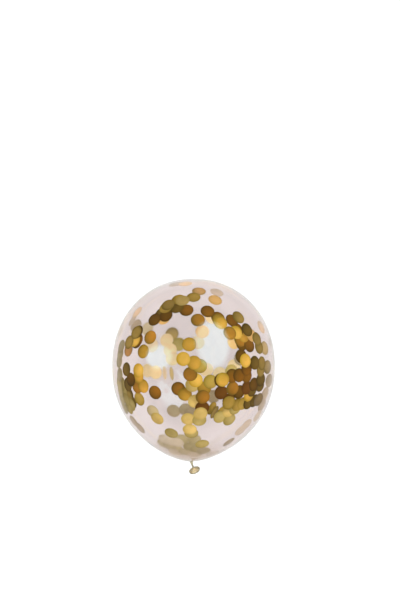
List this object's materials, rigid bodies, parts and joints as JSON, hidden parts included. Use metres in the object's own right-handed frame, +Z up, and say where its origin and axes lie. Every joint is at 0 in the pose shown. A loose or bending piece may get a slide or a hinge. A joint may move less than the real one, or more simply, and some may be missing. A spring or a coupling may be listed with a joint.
{
  "type": "confetti balloon",
  "caption": "Round clear latex balloon with a closed neck and an open rolled mouth, lying on its side; gold foil confetti discs cling inside. Party decoration.",
  "frame": {"origin": "centre of the small flat spot that the balloon lies on, under its widest circle", "axes": "+Y along the balloon from its neck to its crown, +Z up, away from the surface it lies on"},
  "size_m": [0.3, 0.3613, 0.2984],
  "materials": {
    "clear_latex": "clear, glossy, faintly pink",
    "gold_foil": "bright metallised film"
  },
  "bodies": {
    "root": {"balloon": "clear_latex"}
  },
  "joints": []
}
